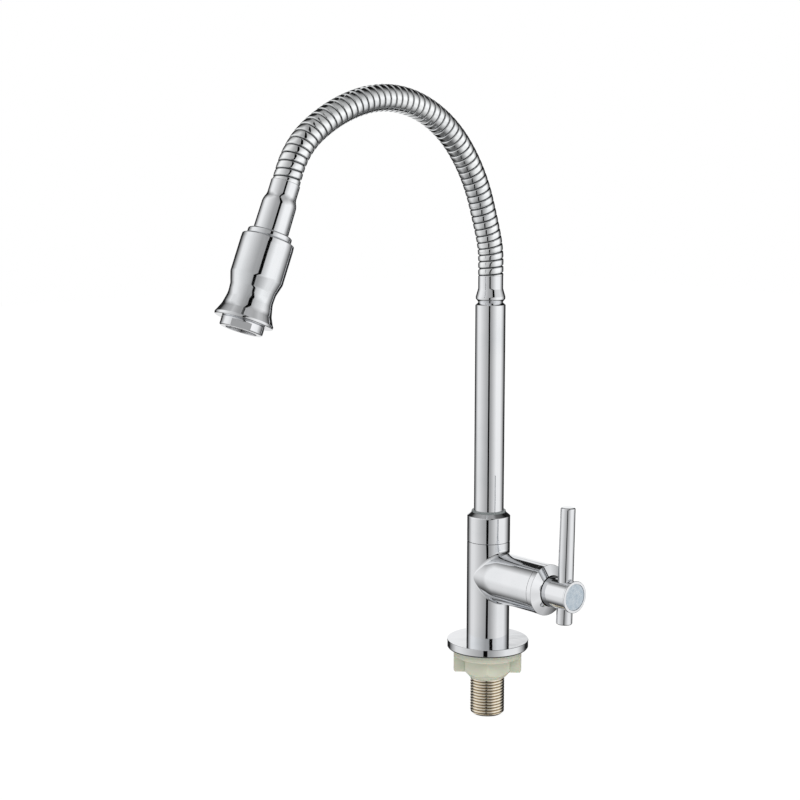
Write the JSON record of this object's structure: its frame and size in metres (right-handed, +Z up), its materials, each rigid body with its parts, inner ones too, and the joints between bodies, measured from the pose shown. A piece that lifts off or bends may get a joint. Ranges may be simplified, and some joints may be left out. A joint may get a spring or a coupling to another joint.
{
  "type": "single cold water tap",
  "caption": "Deck-mounted single cold tap with a quarter-turn side lever, swivelling riser, bendable ribbed gooseneck and turning spray head.",
  "frame": {"origin": "centre of the base seal's underside, on the deck plane and the body's axis", "axes": "+Z up along the body, spout towards -Y at rest, valve barrel and lever towards +X"},
  "size_m": [0.0969, 0.2212, 0.3807],
  "materials": {
    "chrome": "polished",
    "hose_chrome": "polished",
    "brass": "machined",
    "nut_nylon": "moulded, slightly translucent",
    "grey_bush": "moulded",
    "ceramic": "lapped",
    "steel": "brushed",
    "screen_steel": "woven look",
    "index_blue": "gloss",
    "water_tube": "smooth",
    "white_plastic": "moulded",
    "rubber": "matt"
  },
  "bodies": {
    "tap": {"tap_body": "chrome", "base_flange": "chrome", "base_seal": "rubber", "threaded_shank": "brass", "shank_seal": "rubber", "mounting_nut": "nut_nylon", "collar_nut": "chrome", "spout_bush": "grey_bush", "bonnet_ring": "chrome", "cartridge_body": "brass", "cartridge_seat_seal": "rubber", "ceramic_disc_fixed": "ceramic", "cartridge_oring": "rubber"},
    "handle": {"handle_hub": "chrome", "lever": "chrome", "handle_screw": "steel", "index_disc": "index_blue", "cartridge_spindle": "brass", "ceramic_disc_moving": "ceramic", "spindle_orings": "rubber", "spindle_clip": "steel"},
    "spout": {"riser_tube": "chrome", "spout_foot": "brass", "spout_orings": "rubber", "spout_snap_ring": "brass", "riser_ferrule": "chrome", "hose_1": "hose_chrome", "water_tube_1": "water_tube"},
    "hose_part_2": {"hose_2": "hose_chrome", "water_tube_2": "water_tube"},
    "hose_part_3": {"hose_3": "hose_chrome", "water_tube_3": "water_tube"},
    "hose_part_4": {"hose_4": "hose_chrome", "water_tube_4": "water_tube"},
    "hose_part_5": {"hose_5": "hose_chrome", "water_tube_5": "water_tube"},
    "hose_part_6": {"hose_6": "hose_chrome", "water_tube_6": "water_tube"},
    "hose_part_7": {"hose_7": "hose_chrome", "water_tube_7": "water_tube"},
    "hose_part_8": {"hose_8": "hose_chrome", "water_tube_8": "water_tube", "head_connector": "chrome", "head_orings": "rubber", "head_circlip": "steel"},
    "spray_head": {"head_ring": "chrome", "head_core": "white_plastic", "head_shell": "chrome", "flow_regulator": "white_plastic", "aerator_seal": "rubber", "aerator_housing": "chrome", "aerator_insert": "white_plastic", "aerator_screen": "screen_steel"}
  },
  "joints": [
    {"name": "lever_turn", "type": "hinge", "parent": "tap", "child": "handle", "pos_m": [0.06, 0, 0.046], "axis": [1, 0, 0], "range_deg": [0, 90]},
    {"name": "spout_swivel", "type": "hinge", "parent": "tap", "child": "spout", "pos_m": [0, 0, 0.1], "axis": [0, 0, 1], "continuous": true},
    {"name": "hose_curl_1", "type": "hinge", "parent": "spout", "child": "hose_part_2", "pos_m": [0, -0.00383, 0.25736], "axis": [1, 0, 0], "range_deg": [-8, 8]},
    {"name": "hose_sway_1", "type": "hinge", "parent": "hose_part_2", "child": "hose_part_3", "pos_m": [0, -0.01389, 0.28495], "axis": [0, 0.8952, 0.4456], "range_deg": [-8, 8]},
    {"name": "hose_curl_2", "type": "hinge", "parent": "hose_part_3", "child": "hose_part_4", "pos_m": [0, -0.03068, 0.30895], "axis": [1, 0, 0], "range_deg": [-8, 8]},
    {"name": "hose_sway_2", "type": "hinge", "parent": "hose_part_4", "child": "hose_part_5", "pos_m": [0, -0.0548, 0.32542], "axis": [0, 0.3928, 0.9196], "range_deg": [-8, 8]},
    {"name": "hose_curl_3", "type": "hinge", "parent": "hose_part_5", "child": "hose_part_6", "pos_m": [0, -0.08342, 0.33111], "axis": [1, 0, 0], "range_deg": [-8, 8]},
    {"name": "hose_sway_3", "type": "hinge", "parent": "hose_part_6", "child": "hose_part_7", "pos_m": [0, -0.11201, 0.32497], "axis": [0, -0.3687, 0.9295], "range_deg": [-8, 8]},
    {"name": "hose_curl_4", "type": "hinge", "parent": "hose_part_7", "child": "hose_part_8", "pos_m": [0, -0.13725, 0.31013], "axis": [1, 0, 0], "range_deg": [-8, 8]},
    {"name": "head_turn", "type": "hinge", "parent": "hose_part_8", "child": "spray_head", "pos_m": [0, -0.15254, 0.28542], "axis": [0, -0.3746, -0.9272], "continuous": true}
  ],
  "couplings": [
    {"joint": "hose_curl_2", "follows": "hose_curl_1", "ratio": 1},
    {"joint": "hose_sway_2", "follows": "hose_sway_1", "ratio": 1},
    {"joint": "hose_curl_3", "follows": "hose_curl_1", "ratio": 1},
    {"joint": "hose_sway_3", "follows": "hose_sway_1", "ratio": 1},
    {"joint": "hose_curl_4", "follows": "hose_curl_1", "ratio": 1}
  ]
}
